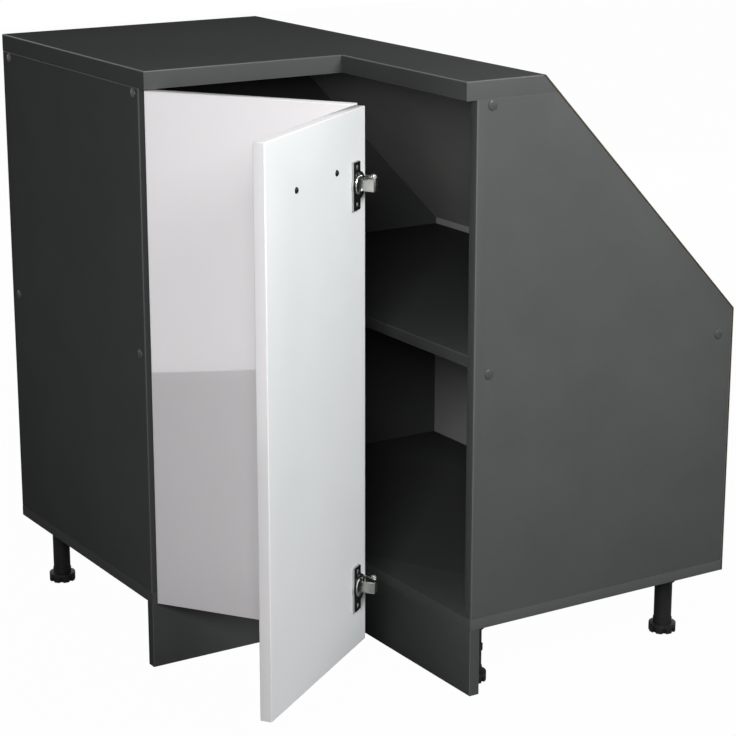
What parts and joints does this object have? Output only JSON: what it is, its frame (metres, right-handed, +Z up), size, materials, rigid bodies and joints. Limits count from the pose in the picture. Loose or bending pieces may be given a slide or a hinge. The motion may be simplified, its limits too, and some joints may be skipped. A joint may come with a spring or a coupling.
{
  "type": "corner kitchen cabinet",
  "caption": "L-shaped corner base cabinet with a sloping right back, a shelf, levelling feet, plinth and a two-leaf folding corner door.",
  "frame": {"origin": "centre of the bounding box in plan, at floor level, door standing open as at rest", "axes": "+Z up; +Y to the rear wall; +X to the right, towards the low wall under the sloping roof"},
  "size_m": [0.839, 0.8922, 0.85],
  "materials": {
    "black_board": "matt melamine",
    "hardboard": "matt paint",
    "white_board": "satin melamine",
    "beech": "plain",
    "black_plastic": "matt",
    "grey_metal": "satin",
    "nickel": "nickel plate",
    "zinc": "zinc plate"
  },
  "bodies": {
    "carcass": {"top_board": "black_board", "left_side_panel": "black_board", "right_side_panel": "black_board", "rear_panel": "black_board", "right_back_panel": "hardboard", "sloped_back_panel": "hardboard", "bottom_panel": "black_board", "shelf": "black_board", "top_connector_blocks": "black_plastic", "shelf_connector_blocks": "black_plastic", "panel_screws": "zinc", "block_screws": "zinc", "screw_caps": "black_plastic", "dowels": "beech", "bottom_screws": "zinc", "back_screws": "zinc", "plinth_left": "black_board", "plinth_right": "black_board", "plinth_corner_bracket": "black_plastic", "plinth_clips": "black_plastic", "plinth_screws": "zinc", "leg_plates": "black_plastic", "leg_screws": "zinc", "leg_tubes": "black_plastic", "swing_hinge_plates": "nickel", "swing_plate_screws": "zinc", "swing_hinge_arms": "nickel", "swing_arm_pins": "zinc"},
    "swing_cranks": {"swing_hinge_cranks": "nickel", "swing_crank_pins": "zinc"},
    "swing_links": {"swing_hinge_links": "nickel"},
    "door_left": {"door_leaf_left": "white_board", "swing_hinge_cups": "nickel", "swing_cup_pins": "zinc", "swing_cup_screws": "zinc", "fold_hinge_plates": "nickel", "fold_plate_screws": "zinc", "fold_arms_left": "nickel", "fold_hinge_pins": "zinc"},
    "door_right": {"door_leaf_right": "white_board", "fold_arms_right": "nickel", "fold_hinge_cups": "grey_metal", "fold_cup_covers": "black_plastic", "fold_cup_rings": "nickel", "fold_cup_screws": "zinc", "fold_hinge_hoods": "nickel", "fold_hood_rivets": "zinc", "handle": "nickel", "handle_screws": "zinc"},
    "foot_1": {"foot_1": "black_plastic"},
    "foot_2": {"foot_2": "black_plastic"},
    "foot_3": {"foot_3": "black_plastic"},
    "foot_4": {"foot_4": "black_plastic"},
    "foot_5": {"foot_5": "black_plastic"},
    "foot_6": {"foot_6": "black_plastic"}
  },
  "joints": [
    {"name": "door_swing", "type": "hinge", "parent": "carcass", "child": "door_left", "pos_m": [-0.34447, -0.01686, 0.46], "axis": [0, 0, -1], "range_deg": [-55, 55]},
    {"name": "door_fold", "type": "hinge", "parent": "door_left", "child": "door_right", "pos_m": [-0.17516, -0.26283, 0.46], "axis": [0, 0, -1], "range_deg": [0, 55]},
    {"name": "crank_turn", "type": "hinge", "parent": "carcass", "child": "swing_cranks", "pos_m": [-0.32143, 0.00389, 0.46], "axis": [0, 0, -1], "range_deg": [-55, 55]},
    {"name": "link_turn", "type": "hinge", "parent": "swing_cranks", "child": "swing_links", "pos_m": [-0.30332, -0.00541, 0.46], "axis": [0, 0, -1], "range_deg": [-55, 55]},
    {"name": "foot_screw_1", "type": "slide", "parent": "carcass", "child": "foot_1", "axis": [0, 0, 1], "range_m": [-0.02, 0.004]},
    {"name": "foot_screw_2", "type": "slide", "parent": "carcass", "child": "foot_2", "axis": [0, 0, 1], "range_m": [-0.02, 0.004]},
    {"name": "foot_screw_3", "type": "slide", "parent": "carcass", "child": "foot_3", "axis": [0, 0, 1], "range_m": [-0.02, 0.004]},
    {"name": "foot_screw_4", "type": "slide", "parent": "carcass", "child": "foot_4", "axis": [0, 0, 1], "range_m": [-0.02, 0.004]},
    {"name": "foot_screw_5", "type": "slide", "parent": "carcass", "child": "foot_5", "axis": [0, 0, 1], "range_m": [-0.02, 0.004]},
    {"name": "foot_screw_6", "type": "slide", "parent": "carcass", "child": "foot_6", "axis": [0, 0, 1], "range_m": [-0.02, 0.004]}
  ],
  "couplings": [
    {"joint": "crank_turn", "follows": "door_swing", "ratio": 1},
    {"joint": "link_turn", "follows": "door_swing", "ratio": -1}
  ]
}
